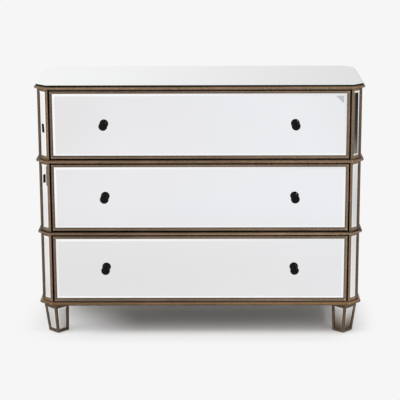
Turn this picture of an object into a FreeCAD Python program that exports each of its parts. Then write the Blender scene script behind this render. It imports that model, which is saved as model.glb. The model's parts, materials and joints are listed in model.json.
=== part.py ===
"""Three-drawer mirrored chest: clipped corners, belt mouldings, drawers on slides and tapered legs.

Millimetres. +Z is up, the drawers face -Y, and the origin lies on the floor under the middle of
the chest's box, knobs included.
"""
import FreeCAD, Part
import math
import os
import re
import Sketcher
from FreeCAD import Placement, Rotation, Vector

SIZES = {
    # the case
    "body_width": (1094, "case across its two side faces"),
    "body_depth": (426, "case from its front plane to its back plane"),
    "corner_cut": (35, "each upright corner is cut off by this much along both faces"),
    "leg_rise": (109, "floor to the underside of the base moulding"),
    "tier_pitch": (251, "one drawer tier, moulding underside to moulding underside"),
    "plate_thick": (12, "top and bottom plates"),
    "side_thick": (18, "side panels"),
    "back_thick": (6, "back panel"),
    "divider_thick": (12, "boards between the drawers"),
    "post_size": (38.5, "corner posts, along both faces"),
    "cleat_rise": (60, "packing strips that carry the slides"),
    # mouldings
    "moulding_reach": (9, "how far a moulding stands out from the case"),
    "band_rise": (10, "height of the base moulding and of the belts between the drawers"),
    "crown_rise": (9, "top moulding"),
    "moulding_ease": (2.5, "bevel along both front edges of a moulding"),
    # glass
    "top_glass_thick": (6, "top glass"),
    "top_glass_proud": (3, "top glass beyond the case's faces"),
    "top_glass_ease": (0.6, "ground edge of the top glass"),
    "pane_thick": (4, "mirror panes on the faces"),
    "pane_recess": (1.5, "pane face behind its border's face"),
    "pane_gap": (0.3, "pane edge to the wood round it"),
    "bevel_width": (8, "bevel round a drawer or side pane"),
    "strip_bevel": (6, "bevel round a corner strip"),
    "bevel_drop": (1.2, "a bevel's edge below the pane's face"),
    "border": (8.5, "painted border beside a pane"),
    "pane_foot": (20.5, "moulding underside to the foot of the side and corner panes above it"),
    "pane_head": (8.5, "head of a side or corner pane to the belt moulding above it"),
    "crown_head": (9, "head of the topmost side and corner panes to the top moulding"),
    # drawer fronts
    "front_lift": (14, "moulding underside to the drawer front above it"),
    "front_rise": (231.5, "drawer front"),
    "front_gap": (4.5, "drawer front to the post beside it"),
    "frame_width": (9.5, "painted frame round a drawer's pane"),
    "frame_thick": (6, "that frame's depth"),
    "frame_ease": (1, "eased edges of that frame"),
    "board_thick": (12, "board behind the frame and pane"),
    # drawer boxes
    "box_thick": (12, "sides and ends of a drawer box"),
    "box_depth": (370, "drawer box from front to back"),
    "box_rise": (180, "height of a drawer box"),
    "box_lift": (20, "foot of the drawer front to the foot of the box"),
    "floor_thick": (6, "drawer floor"),
    "floor_lift": (10, "foot of the box to its floor"),
    "groove_deep": (6, "groove that holds the floor"),
    # slides
    "slide_thick": (12.7, "closed slide, case to drawer"),
    "slide_length": (350, "each member of a slide"),
    "slide_setback": (20, "front plane to the slides"),
    "channel_wall": (1.2, "sheet steel of the slides"),
    "case_channel_rise": (45, "outer member"),
    "case_channel_deep": (9.6, "outer member"),
    "mid_channel_rise": (38, "middle member"),
    "mid_channel_start": (3, "cleat face to the middle member"),
    "mid_channel_deep": (7.8, "middle member"),
    "drawer_channel_rise": (28, "inner member"),
    "drawer_channel_deep": (7, "inner member"),
    # knobs
    "knob_spacing": (646, "between the two knobs of a drawer"),
    "knob_reach": (36, "pane face to the knob's tip"),
    "knob_radius": (15, "widest part"),
    "knob_widest": (26, "pane face to the widest part"),
    "knob_dome": (16.25, "radius of the domed face"),
    "knob_back": (12, "pane face to the back of the head"),
    "knob_neck": (6.5, "neck radius"),
    "knob_bore_deep": (12, "threaded hole in the knob"),
    "screw_radius": (2, "knob screw"),
    "screw_hole": (2.3, "clearance hole for a knob screw"),
    "screw_head": (7, "hexagon head, across its flats"),
    "screw_head_thick": (2.8, "head"),
    # legs
    "leg_top_side": (61, "leg, square, at the top"),
    "leg_foot_side": (49, "leg, square, at the foot"),
    "leg_top_back": (34.5, "case corner, uncut, to the leg's outer face at the top, on the diagonal"),
    "leg_foot_back": (48.4, "the same at the foot"),
    "leg_border": (8.5, "painted border at the sides of a leg's pane"),
    "leg_head_border": (17, "painted border above it"),
    "leg_foot_border": (9.5, "painted border below it"),
    "leg_pane_thick": (3, "leg panes"),
    "leg_pane_recess": (1.2, "leg pane behind its border"),
    "leg_pane_gap": (0.7, "leg pane to the wood round it"),
    "leg_pane_bed": (0.1, "glue behind a leg pane"),
    "leg_bevel": (4.5, "bevel round a leg pane"),
    "leg_bevel_drop": (0.8, "that bevel's edge below the pane's face"),
    "glide_rise": (2.5, "glide under a leg"),
    "glide_side": (38, "square glide"),
    "bolt_radius": (4, "leg bolt"),
    "bolt_hole": (4.5, "clearance hole for a leg bolt in the bottom plate"),
    "bolt_depth": (42, "leg bolt in the leg"),
    "bolt_head": (13, "hexagon head, across its flats"),
    "bolt_head_thick": (5.3, "head"),
    "cut_margin": (2, "how far a cut runs past the wood"),
}

TIERS = ("lower", "middle", "upper")
# corner: side of the chest in X and Y, and the bearing of its outward diagonal
CORNERS = {
    "front_left": (-1, -1, 225),
    "front_right": (1, -1, 315),
    "rear_right": (1, 1, 45),
    "rear_left": (-1, 1, 135),
}
FACES = {"left": (-1, 0, 180), "right": (1, 0, 0), "front": (0, -1, 270), "rear": (0, 1, 90)}
MITRE = "tan(22.5 deg)"
POINTING_DOWN = 90
SHIFT = "(knob_reach - pane_recess - moulding_reach) / 2"
CEILING = "(leg_rise + 3 * tier_pitch + crown_rise - plate_thick)"
FLOOR = "(leg_rise + plate_thick)"

doc = FreeCAD.newDocument("mirrored_chest")
sheet = doc.addObject("Spreadsheet::Sheet", "sizes")
for row, (alias, (value, note)) in enumerate(SIZES.items(), start=1):
    sheet.set(f"A{row}", note)
    sheet.set(f"B{row}", str(value))
    sheet.setAlias(f"B{row}", alias)
doc.recompute()
nodes = []


def cells(text):
    """Turn the plain size names of an expression into references to the sheet."""
    return re.sub(r"\b[a-z]+(_[a-z]+)+\b|\bborder\b", lambda word: f"sizes.{word.group()}", str(text))


def value_of(text):
    return float(sheet.evalExpression(cells(text)))


def bind(thing, prop, text):
    thing.setExpression(prop, cells(text))


def node(thing, name):
    """Name a finished sub-part after its file."""
    thing.Label = name
    nodes.append(thing)
    return thing


def place(thing, along_x="0", along_y="0", bearing=0, lift="0", tilt=0):
    """Set a piece down with its own +X turned to a bearing, and tilted back about its own Y."""
    turn = Rotation(Vector(0, 0, 1), bearing) * Rotation(Vector(0, 1, 0), tilt)
    thing.Placement = Placement(Vector(), turn)
    bind(thing, "Placement.Base.x", along_x)
    bind(thing, "Placement.Base.y", f"{SHIFT} + {along_y}")
    bind(thing, "Placement.Base.z", lift)


def face_frame(thing, face):
    """The piece's +X points out of a face of the case, and its X = 0 is that face."""
    side_x, side_y, bearing = FACES[face]
    place(thing, f"{side_x} * body_width / 2", f"{side_y} * body_depth / 2", bearing)


def corner_frame(thing, corner):
    """The piece's +X points out along a corner's diagonal, from where the uncut corner would be."""
    side_x, side_y, bearing = CORNERS[corner]
    place(thing, f"{side_x} * body_width / 2", f"{side_y} * body_depth / 2", bearing)


def new_body(name):
    return doc.addObject("PartDesign::Body", name)


def plane_of(body, role):
    return next(item for item in body.Origin.OriginFeatures if item.Role == role)


def arc_between(start, end, radius, side):
    """Arc from start to end whose middle bulges to the left of that line (side 1) or the right (-1)."""
    chord = end - start
    half = chord.Length / 2
    sagitta = radius - math.sqrt(radius * radius - half * half)
    normal = Vector(-chord.y, chord.x, 0).normalize() * side
    return Part.ArcOfCircle(start, (start + end) / 2 + normal * sagitta, end)


def outline(body, role, lift, corners, arcs=None):
    """A closed sketch whose corners, and the radii of whose arcs, are bound to the sheet."""
    arcs = arcs or {}
    sketch = body.newObject("Sketcher::SketchObject", "Outline")
    sketch.AttachmentSupport = [(plane_of(body, role), "")]
    sketch.MapMode = "FlatFace"
    bind(sketch, "AttachmentOffset.Base.z", lift)
    points = [Vector(value_of(x), value_of(y), 0) for x, y in corners]
    ends = []
    for index, start in enumerate(points):
        end = points[(index + 1) % len(points)]
        if index in arcs:
            radius, side = arcs[index]
            sketch.addGeometry(arc_between(start, end, value_of(radius), side), False)
            from_first, from_second = ((sketch.getPoint(index, end) - start).Length for end in (1, 2))
            ends.append((1, 2) if from_first < from_second else (2, 1))
        else:
            sketch.addGeometry(Part.LineSegment(start, end), False)
            ends.append((1, 2))
    for index in range(len(points)):
        following = (index + 1) % len(points)
        joint = Sketcher.Constraint("Coincident", index, ends[index][1], following, ends[following][0])
        sketch.addConstraint(joint)
    for index, (corner, point) in enumerate(zip(corners, points)):
        for kind, text, value in (("DistanceX", corner[0], point.x), ("DistanceY", corner[1], point.y)):
            pinned = sketch.addConstraint(Sketcher.Constraint(kind, -1, 1, index, ends[index][0], value))
            bind(sketch, f"Constraints[{pinned}]", text)
    for index, (radius, side) in arcs.items():
        pinned = sketch.addConstraint(Sketcher.Constraint("Radius", index, value_of(radius)))
        bind(sketch, f"Constraints[{pinned}]", radius)
    return sketch


def circles(body, role, lift, centres, radius):
    """A sketch of equal circles at the given centres."""
    sketch = body.newObject("Sketcher::SketchObject", "Circles")
    sketch.AttachmentSupport = [(plane_of(body, role), "")]
    sketch.MapMode = "FlatFace"
    bind(sketch, "AttachmentOffset.Base.z", lift)
    for x, y in centres:
        centre = Vector(value_of(x), value_of(y), 0)
        index = sketch.addGeometry(Part.Circle(centre, Vector(0, 0, 1), value_of(radius)), False)
        for kind, text, value in (("DistanceX", x, centre.x), ("DistanceY", y, centre.y)):
            pinned = sketch.addConstraint(Sketcher.Constraint(kind, -1, 1, index, 3, value))
            bind(sketch, f"Constraints[{pinned}]", text)
        pinned = sketch.addConstraint(Sketcher.Constraint("Radius", index, value_of(radius)))
        bind(sketch, f"Constraints[{pinned}]", radius)
    return sketch


def pad(body, sketch, length):
    """Pad along the sketch plane's normal: +Z from XY, +X from YZ, -Y from XZ."""
    feature = body.newObject("PartDesign::Pad", "Pad")
    feature.Profile = sketch
    bind(feature, "Length", length)
    return feature


def pocket(body, sketch, length, with_normal=False):
    """Cut against the sketch plane's normal, or with it."""
    feature = body.newObject("PartDesign::Pocket", "Pocket")
    feature.Profile = sketch
    feature.Reversed = with_normal
    bind(feature, "Length", length)
    return feature


def loft(body, first, second, cut=False):
    kind = "SubtractiveLoft" if cut else "AdditiveLoft"
    feature = body.newObject(f"PartDesign::{kind}", kind)
    feature.Profile = first
    feature.Sections = [second]
    feature.Ruled = True
    return feature


def wedge(body, low, high, foot, head, cut=False):
    """A tapered block between two heights. foot and head give its span in X and then in Y there."""
    kind = "SubtractiveWedge" if cut else "AdditiveWedge"
    feature = body.newObject(f"PartDesign::{kind}", kind)
    feature.Placement = Placement(Vector(), Rotation(Vector(1, 0, 0), 90))  # its Y stands up, its Z is -Y
    bind(feature, "Ymin", low)
    bind(feature, "Ymax", high)
    for step, (x_low, x_high, y_low, y_high) in (("", foot), ("2", head)):
        bind(feature, f"X{step}min", x_low)
        bind(feature, f"X{step}max", x_high)
        bind(feature, f"Z{step}min", f"-({y_high})")
        bind(feature, f"Z{step}max", f"-({y_low})")
    return feature


def turned(name, corners, arcs):
    """A piece turned about X. Corners are (along the axis, radius)."""
    body = new_body(name)
    sketch = outline(body, "XY_Plane", "0", corners, arcs)
    feature = body.newObject("PartDesign::Revolution", "Revolution")
    feature.Profile = sketch
    feature.ReferenceAxis = (sketch, ["H_Axis"])
    feature.Angle = 360
    return body


def fastener(name, radius, length, across, thick):
    """A hexagon-head screw or bolt, its shank along +X and its head behind X = 0."""
    body = new_body(name)
    flat, point = f"({across} / 2)", f"({across} / sqrt(3))"
    hexagon = [
        (point, "0"), (f"{point} / 2", flat), (f"-{point} / 2", flat),
        (f"-{point}", "0"), (f"-{point} / 2", f"-{flat}"), (f"{point} / 2", f"-{flat}"),
    ]
    pad(body, outline(body, "YZ_Plane", f"-{thick}", hexagon), thick)
    pad(body, circles(body, "YZ_Plane", "0", [("0", "0")], radius), length)
    return body


def rectangle(low_y, high_y, low_z, high_z, inset="0"):
    return [
        (f"({low_y}) + ({inset})", f"({low_z}) + ({inset})"),
        (f"({high_y}) - ({inset})", f"({low_z}) + ({inset})"),
        (f"({high_y}) - ({inset})", f"({high_z}) - ({inset})"),
        (f"({low_y}) + ({inset})", f"({high_z}) - ({inset})"),
    ]


def block(name, low, high):
    """A plain board between two corners given in the chest's frame, Y counted from mid-depth."""
    board = doc.addObject("Part::Box", name)
    for prop, start, end in zip(("Length", "Width", "Height"), low, high):
        bind(board, prop, f"({end}) - ({start})")
    place(board, low[0], f"({low[1]})", lift=low[2])
    return board


def together(name, members):
    group = doc.addObject("Part::Compound", name)
    group.Links = members
    return group


def mirrored(thing, name):
    """The same piece on the other side of the chest."""
    twin = doc.addObject("Part::Mirroring", name)
    twin.Source = thing
    twin.Normal = Vector(1, 0, 0)
    return twin


def underside(tier):
    """Height of the moulding underside below a tier."""
    return f"(leg_rise + {tier} * tier_pitch)"


def front_foot(tier):
    return f"({underside(tier)} + front_lift)"


def pane_span(tier):
    """Foot and head of the side and corner panes of a tier."""
    head = "crown_head" if tier == len(TIERS) - 1 else "pane_head"
    return f"{underside(tier)} + pane_foot", f"{underside(tier + 1)} - {head}"


def octagon(grow="0"):
    """Corners of the case's plan, grown outward all round."""
    half_x = f"(body_width / 2 + ({grow}))"
    half_y = f"(body_depth / 2 + ({grow}))"
    cut = f"(corner_cut + ({grow}) * (1 - {MITRE}))"
    return [
        (f"-{half_x} + {cut}", f"-{half_y}"), (f"{half_x} - {cut}", f"-{half_y}"),
        (half_x, f"-{half_y} + {cut}"), (half_x, f"{half_y} - {cut}"),
        (f"{half_x} - {cut}", half_y), (f"-{half_x} + {cut}", half_y),
        (f"-{half_x}", f"{half_y} - {cut}"), (f"-{half_x}", f"-{half_y} + {cut}"),
    ]


def leg_centre():
    """Leg bolt's distance from the uncut corner, along each face."""
    return "((leg_top_back + leg_top_side / 2) / sqrt(2))"


# ---------------------------------------------------------------- case boards
def make_plates():
    bottom = new_body("case_bottom_panel")
    pad(bottom, outline(bottom, "XY_Plane", "leg_rise", octagon()), "plate_thick")
    doc.recompute()
    holes = [
        (f"{x} * (body_width / 2 - {leg_centre()})", f"{y} * (body_depth / 2 - {leg_centre()})")
        for x, y, _ in CORNERS.values()
    ]
    pocket(bottom, circles(bottom, "XY_Plane", FLOOR, holes, "bolt_hole"), "plate_thick")
    place(bottom)
    node(bottom, "case_bottom_panel")
    top = new_body("case_top_panel")
    pad(top, outline(top, "XY_Plane", CEILING, octagon()), "plate_thick")
    place(top)
    node(top, "case_top_panel")


def make_side_panels():
    half = "(body_depth / 2 - post_size)"
    for side in ("left", "right"):
        panel = new_body(f"{side}_side_panel")
        face = outline(panel, "YZ_Plane", "-side_thick", rectangle(f"-{half}", half, FLOOR, CEILING))
        pad(panel, face, "side_thick")
        for tier in range(len(TIERS)):
            foot, head = pane_span(tier)
            edge = f"({half} - border + (post_size - corner_cut))"
            rebate = outline(panel, "YZ_Plane", "0", rectangle(f"-{edge}", edge, foot, head))
            pocket(panel, rebate, "pane_thick + pane_recess")
        face_frame(panel, side)
        node(panel, f"{side}_side_panel")


def make_back_and_dividers():
    half = "(body_width / 2 - post_size)"
    inner = "(body_depth / 2 - back_thick)"
    node(block("back_panel", (f"-{half}", inner, FLOOR), (half, "body_depth / 2", CEILING)), "back_panel")
    for tier, name in ((1, "lower_divider"), (2, "upper_divider")):
        level = f"({underside(tier)} + band_rise)"
        board = block(name, (f"-{half}", "-body_depth / 2", f"{level} - divider_thick"), (half, inner, level))
        node(board, name)


def make_posts():
    """Posts with their cut face pocketed for one bevelled strip of mirror per tier."""
    cut_face = "(-corner_cut / sqrt(2))"
    reach = "(post_size / sqrt(2))"
    strips = []
    for corner in CORNERS:
        post = new_body(f"{corner}_post")
        plan = [
            (cut_face, cut_face), (f"-{reach}", f"-{reach}"), (f"-2 * {reach}", "0"),
            (f"-{reach}", reach), (cut_face, f"-{cut_face}"),
        ]
        pad(post, outline(post, "XY_Plane", FLOOR, plan), f"{CEILING} - {FLOOR}")
        edge = f"(-{cut_face} - border)"
        for tier in range(len(TIERS)):
            foot, head = pane_span(tier)
            rebate = outline(post, "YZ_Plane", cut_face, rectangle(f"-{edge}", edge, foot, head))
            pocket(post, rebate, "pane_thick + pane_recess")
            strip = new_body(f"{corner}_strip")
            bevelled_pane(strip, f"{cut_face} - pane_recess - pane_thick", "pane_thick", "bevel_drop",
                          rectangle(f"-{edge}", edge, foot, head, "pane_gap"),
                          rectangle(f"-{edge}", edge, foot, head, "pane_gap + strip_bevel"))
            corner_frame(strip, corner)
            strips.append(strip)
        corner_frame(post, corner)
        node(post, f"{corner}_post")
    node(together("corner_mirrors", strips), "corner_mirrors")


def bevelled_pane(body, back_face, thick, drop, corners, inner_corners):
    """Glass facing +X: a slab, and over it the sloping bevel up to the flat middle."""
    slab = outline(body, "YZ_Plane", back_face, corners)
    pad(body, slab, f"{thick} - {drop}")
    rim = outline(body, "YZ_Plane", f"{back_face} + {thick} - {drop}", corners)
    flat = outline(body, "YZ_Plane", f"{back_face} + {thick}", inner_corners)
    loft(body, rim, flat)


def make_side_mirrors():
    edge = "(body_depth / 2 - corner_cut - border)"
    for side in ("left", "right"):
        panes = []
        for tier in range(len(TIERS)):
            foot, head = pane_span(tier)
            pane = new_body(f"{side}_pane")
            bevelled_pane(pane, "-pane_recess - pane_thick", "pane_thick", "bevel_drop",
                          rectangle(f"-{edge}", edge, foot, head, "pane_gap"),
                          rectangle(f"-{edge}", edge, foot, head, "pane_gap + bevel_width"))
            face_frame(pane, side)
            panes.append(pane)
        node(together(f"{side}_side_mirrors", panes), f"{side}_side_mirrors")


# ---------------------------------------------------------------- mouldings
def moulding_run(name, length, rise):
    """One mitred length of moulding, facing +X, its back on X = 0 and its middle at Y = 0."""
    run = new_body(name)
    half = f"({length}) / 2"
    spread = f"({half} + moulding_reach * {MITRE})"
    plan = [("0", f"-{half}"), ("moulding_reach", f"-{spread}"), ("moulding_reach", spread), ("0", half)]
    pad(run, outline(run, "XY_Plane", "0", plan), rise)
    flat = "(moulding_reach - moulding_ease)"
    beyond = "(moulding_reach + cut_margin)"
    past_end = f"({spread} + cut_margin)"
    lower_edge = ("0", "moulding_ease", "-cut_margin")
    upper_edge = (rise, f"{rise} - moulding_ease", f"{rise} + cut_margin")
    for edge, eased, outside in (lower_edge, upper_edge):
        bevel = [(flat, edge), ("moulding_reach", eased), (beyond, eased), (beyond, outside), (flat, outside)]
        pocket(run, outline(run, "XZ_Plane", past_end, bevel), f"2 * {past_end}")
    return run


def make_moulding(name, level, rise, faces):
    """A moulding round the case, along the given faces and across every corner."""
    runs = []
    for face in faces:
        span = "body_depth" if face in ("left", "right") else "body_width"
        run = moulding_run(f"{name}_{face}", f"{span} - 2 * corner_cut", rise)
        face_frame(run, face)
        bind(run, "Placement.Base.z", level)
        runs.append(run)
    for corner, (side_x, side_y, bearing) in CORNERS.items():
        run = moulding_run(f"{name}_{corner}", "corner_cut * sqrt(2)", rise)
        place(run, f"{side_x} * (body_width - corner_cut) / 2", f"{side_y} * (body_depth - corner_cut) / 2",
              bearing, level)
        runs.append(run)
    node(together(name, runs), name)


def make_mouldings():
    open_back = ("left", "right", "front")
    make_moulding("base_moulding", underside(0), "band_rise", open_back)
    make_moulding("lower_belt_moulding", underside(1), "band_rise", open_back)
    make_moulding("upper_belt_moulding", underside(2), "band_rise", open_back)
    make_moulding("top_moulding", underside(3), "crown_rise", FACES)


def make_top_glass():
    glass = new_body("top_glass")
    level = f"({underside(len(TIERS))} + crown_rise)"
    upright = "(top_glass_thick - top_glass_ease)"
    plan, eased_plan = octagon("top_glass_proud"), octagon("top_glass_proud - top_glass_ease")
    pad(glass, outline(glass, "XY_Plane", level, plan), upright)
    loft(glass, outline(glass, "XY_Plane", f"{level} + {upright}", plan),
         outline(glass, "XY_Plane", f"{level} + top_glass_thick", eased_plan))
    place(glass)
    node(glass, "top_glass")


# ---------------------------------------------------------------- legs
def taper(foot, top, height):
    """A leg size at a height, between its value at the foot and at the top."""
    return f"({foot} + ({top} - {foot}) * ({height} - glide_rise) / (leg_rise - glide_rise))"


def leg_section(height):
    """Outer face, inner face and half side of a leg at a height, in its corner's frame."""
    outer = f"-{taper('leg_foot_back', 'leg_top_back', height)}"
    side = taper("leg_foot_side", "leg_top_side", height)
    return outer, f"({outer} - {side})", f"({side} / 2)"


def leg_rebate(kind, height):
    """Span in X and in Y of the rebate for a facet's pane at a height."""
    outer, inner, half = leg_section(height)
    deep = "(leg_pane_recess + leg_pane_thick + leg_pane_bed)"
    if kind == "outer":
        return f"{outer} - {deep}", f"{outer} + cut_margin", f"-{half} + leg_border", f"{half} - leg_border"
    near, far = f"{inner} + leg_border", f"{outer} - leg_border"
    if kind == "left":
        return near, far, f"{half} - {deep}", f"{half} + cut_margin"
    return near, far, f"-{half} - cut_margin", f"-{half} + {deep}"


def leg_pane(corner, kind):
    """A bevelled pane on a facet, made upright and then leaned with that facet."""
    low, high = "(glide_rise + leg_foot_border)", "(leg_rise - leg_head_border)"
    side_x, side_y, bearing = CORNERS[corner]
    outer_low, inner_low, half_low = leg_section(low)
    outer_high, inner_high, half_high = leg_section(high)
    if kind == "outer":
        lean = math.atan2(value_of(f"({outer_high}) - ({outer_low})"), value_of(f"{high} - {low}"))
        turn, face = 0, outer_low
        edges = [(f"-{half_low}", half_low), (f"-{half_high}", half_high)]
    else:
        lean = math.atan2(value_of(f"{half_high} - {half_low}"), value_of(f"{high} - {low}"))
        turn, face = (90, half_low) if kind == "left" else (-90, half_low)
        near, far = (inner_low, inner_high), (outer_low, outer_high)
        if kind == "left":
            edges = [(f"-({far[0]})", f"-({near[0]})"), (f"-({far[1]})", f"-({near[1]})")]
        else:
            edges = [(near[0], far[0]), (near[1], far[1])]
    slant = f"(({high} - {low}) / {math.cos(lean)})"

    def quad(inset):
        margin = f"leg_border + {inset}"
        (foot_start, foot_end), (head_start, head_end) = edges
        return [(f"{foot_start} + {margin}", inset), (f"{foot_end} - ({margin})", inset),
                (f"{head_end} - ({margin})", f"{slant} - {inset}"),
                (f"{head_start} + {margin}", f"{slant} - {inset}")]
    pane = new_body("leg_pane")
    bevelled_pane(pane, "-leg_pane_recess - leg_pane_thick", "leg_pane_thick", "leg_bevel_drop",
                  quad("leg_pane_gap"), quad("(leg_pane_gap + leg_bevel)"))
    facing = math.radians(bearing + turn)
    along_x = f"{side_x} * body_width / 2 + ({face}) * {math.cos(facing)}"
    along_y = f"{side_y} * body_depth / 2 + ({face}) * {math.sin(facing)}"
    place(pane, along_x, along_y, bearing + turn, low, math.degrees(lean))
    return pane


def leg_block(height):
    """Span in X and in Y of a whole leg at a height."""
    outer, inner, half = leg_section(height)
    return inner, outer, f"-{half}", half


def make_legs():
    """Square tapered legs turned to face along the diagonals, glazed on the three outward facets."""
    low, high = "(glide_rise + leg_foot_border)", "(leg_rise - leg_head_border)"
    middle = "(leg_foot_back + leg_foot_side / 2)"
    panes, bolts, glides = [], [], []
    for corner, (side_x, side_y, bearing) in CORNERS.items():
        leg = new_body(f"{corner}_leg")
        wedge(leg, "glide_rise", "leg_rise", leg_block("glide_rise"), leg_block("leg_rise"))
        for kind in ("outer", "left", "right"):
            wedge(leg, low, high, leg_rebate(kind, low), leg_rebate(kind, high), cut=True)
            panes.append(leg_pane(corner, kind))
        axis = [(f"-{leg_centre()} * sqrt(2)", "0")]
        pocket(leg, circles(leg, "XY_Plane", "leg_rise", axis, "bolt_radius"), "bolt_depth")
        corner_frame(leg, corner)
        node(leg, f"{corner}_leg")
        shank = "plate_thick + bolt_depth"
        bolt = fastener("leg_bolt", "bolt_radius", shank, "bolt_head", "bolt_head_thick")
        place(bolt, f"{side_x} * (body_width / 2 - {leg_centre()})",
              f"{side_y} * (body_depth / 2 - {leg_centre()})", bearing, FLOOR, POINTING_DOWN)
        bolts.append(bolt)
        glide = new_body("leg_glide")
        near, far = f"-{middle} - glide_side / 2", f"-{middle} + glide_side / 2"
        square = rectangle(near, far, "-glide_side / 2", "glide_side / 2")
        pad(glide, outline(glide, "XY_Plane", "0", square), "glide_rise")
        corner_frame(glide, corner)
        glides.append(glide)
    node(together("leg_mirrors", panes), "leg_mirrors")
    node(together("leg_bolts", bolts), "leg_bolts")
    node(together("leg_glides", glides), "leg_glides")


# ---------------------------------------------------------------- slides
def channel(name, tier, wall_face, deep, rise, opens_inward):
    """A pressed steel channel on the right of a tier. wall_face is its web's outer face, cleat side."""
    body = new_body(name)
    web = f"({wall_face})"
    tip = f"({wall_face} - {deep})" if opens_inward else f"({wall_face} + {deep})"
    inner = f"({web} - channel_wall)" if opens_inward else f"({web} + channel_wall)"
    middle = f"({front_foot(tier)} + box_lift + box_rise / 2)"
    half = f"({rise} / 2)"
    section = [(web, f"{middle} - {half}"), (tip, f"{middle} - {half}"),
               (tip, f"{middle} - {half} + channel_wall"), (inner, f"{middle} - {half} + channel_wall"),
               (inner, f"{middle} + {half} - channel_wall"), (tip, f"{middle} + {half} - channel_wall"),
               (tip, f"{middle} + {half}"), (web, f"{middle} + {half}")]
    start = "(body_depth / 2 - slide_setback)"
    sketch = outline(body, "XZ_Plane", f"{start} - slide_length", section)
    pad(body, sketch, "slide_length")
    place(body)
    return body


def make_case_slides():
    members, cleats = [], []
    cleat_face = "(body_width / 2 - post_size)"
    half_y = "(body_depth / 2 - post_size)"
    for tier in range(len(TIERS)):
        middle = f"({front_foot(tier)} + box_lift + box_rise / 2)"
        outer = channel("case_channel", tier, cleat_face, "case_channel_deep", "case_channel_rise", True)
        members += [outer, mirrored(outer, "case_channel_left")]
        cleat = block("slide_cleat", (cleat_face, f"-{half_y}", f"{middle} - cleat_rise / 2"),
                      ("body_width / 2 - side_thick", half_y, f"{middle} + cleat_rise / 2"))
        cleats += [cleat, mirrored(cleat, "slide_cleat_left")]
    node(together("slide_case_members", members), "slide_case_members")
    node(together("slide_cleats", cleats), "slide_cleats")


# ---------------------------------------------------------------- drawers
def frame_strip(rect, start, index, face_inset):
    """Corners of one mitred side of a frame, between two insets of its rectangle."""
    outer = rectangle(*rect, start)
    inner = rectangle(*rect, face_inset)
    following = (index + 1) % 4
    return [outer[index], outer[following], inner[following], inner[index]]


def knob():
    """Turned knob: a neck standing on the glass, and a head that swells to a domed face."""
    profile = [
        ("knob_bore_deep", "0"), ("knob_bore_deep", "screw_radius"), ("0", "screw_radius"),
        ("0", "knob_neck"), ("knob_back", "knob_neck"), ("knob_widest", "knob_radius"), ("knob_reach", "0")]
    dome = 5
    return turned("knob", profile, {dome: ("knob_dome", 1)})


def make_drawer(tier):
    name = TIERS[tier]
    foot = front_foot(tier)
    half = "(body_width / 2 - post_size - front_gap)"
    rect = (f"-{half}", half, foot, f"{foot} + front_rise")
    knob_level = f"({foot} + front_rise / 2)"
    spots = [(f"{side} * knob_spacing / 2", knob_level) for side in (-1, 1)]

    board = new_body(f"{name}_drawer_front")
    pad(board, outline(board, "YZ_Plane", "-frame_thick - board_thick", rectangle(*rect)), "board_thick")
    pocket(board, circles(board, "YZ_Plane", "-frame_thick", spots, "screw_hole"), "board_thick")
    face_frame(board, "front")
    node(board, f"{name}_drawer_front")

    strips = []
    for index in range(4):
        strip = new_body(f"{name}_frame_strip")
        plain = frame_strip(rect, "0", index, "frame_width")
        eased = frame_strip(rect, "frame_ease", index, "frame_width - frame_ease")
        pad(strip, outline(strip, "YZ_Plane", "-frame_thick", plain), "frame_thick - frame_ease")
        loft(strip, outline(strip, "YZ_Plane", "-frame_ease", plain), outline(strip, "YZ_Plane", "0", eased))
        face_frame(strip, "front")
        strips.append(strip)
    node(together(f"{name}_drawer_frame", strips), f"{name}_drawer_frame")

    pane = new_body(f"{name}_drawer_mirror")
    bevelled_pane(pane, "-frame_thick", "pane_thick", "bevel_drop",
                  rectangle(*rect, "frame_width + pane_gap"),
                  rectangle(*rect, "frame_width + pane_gap + bevel_width"))
    pocket(pane, circles(pane, "YZ_Plane", "-frame_thick + pane_thick", spots, "screw_hole"), "pane_thick")
    face_frame(pane, "front")
    node(pane, f"{name}_drawer_mirror")

    knobs, screws = [], []
    for across, level in spots:
        turned_knob = knob()
        place(turned_knob, across, "-body_depth / 2 + frame_thick - pane_thick", 270, level)
        knobs.append(turned_knob)
        inside = "(frame_thick + board_thick + box_thick)"
        shank = f"({inside} - frame_thick + pane_thick + knob_bore_deep)"
        screw = fastener("knob_screw", "screw_radius", shank, "screw_head", "screw_head_thick")
        place(screw, across, f"-body_depth / 2 + {inside}", 270, level)
        screws.append(screw)
    node(together(f"{name}_drawer_knobs", knobs), f"{name}_drawer_knobs")
    node(together(f"{name}_knob_screws", screws), f"{name}_knob_screws")
    make_drawer_box(tier, spots)


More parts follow.
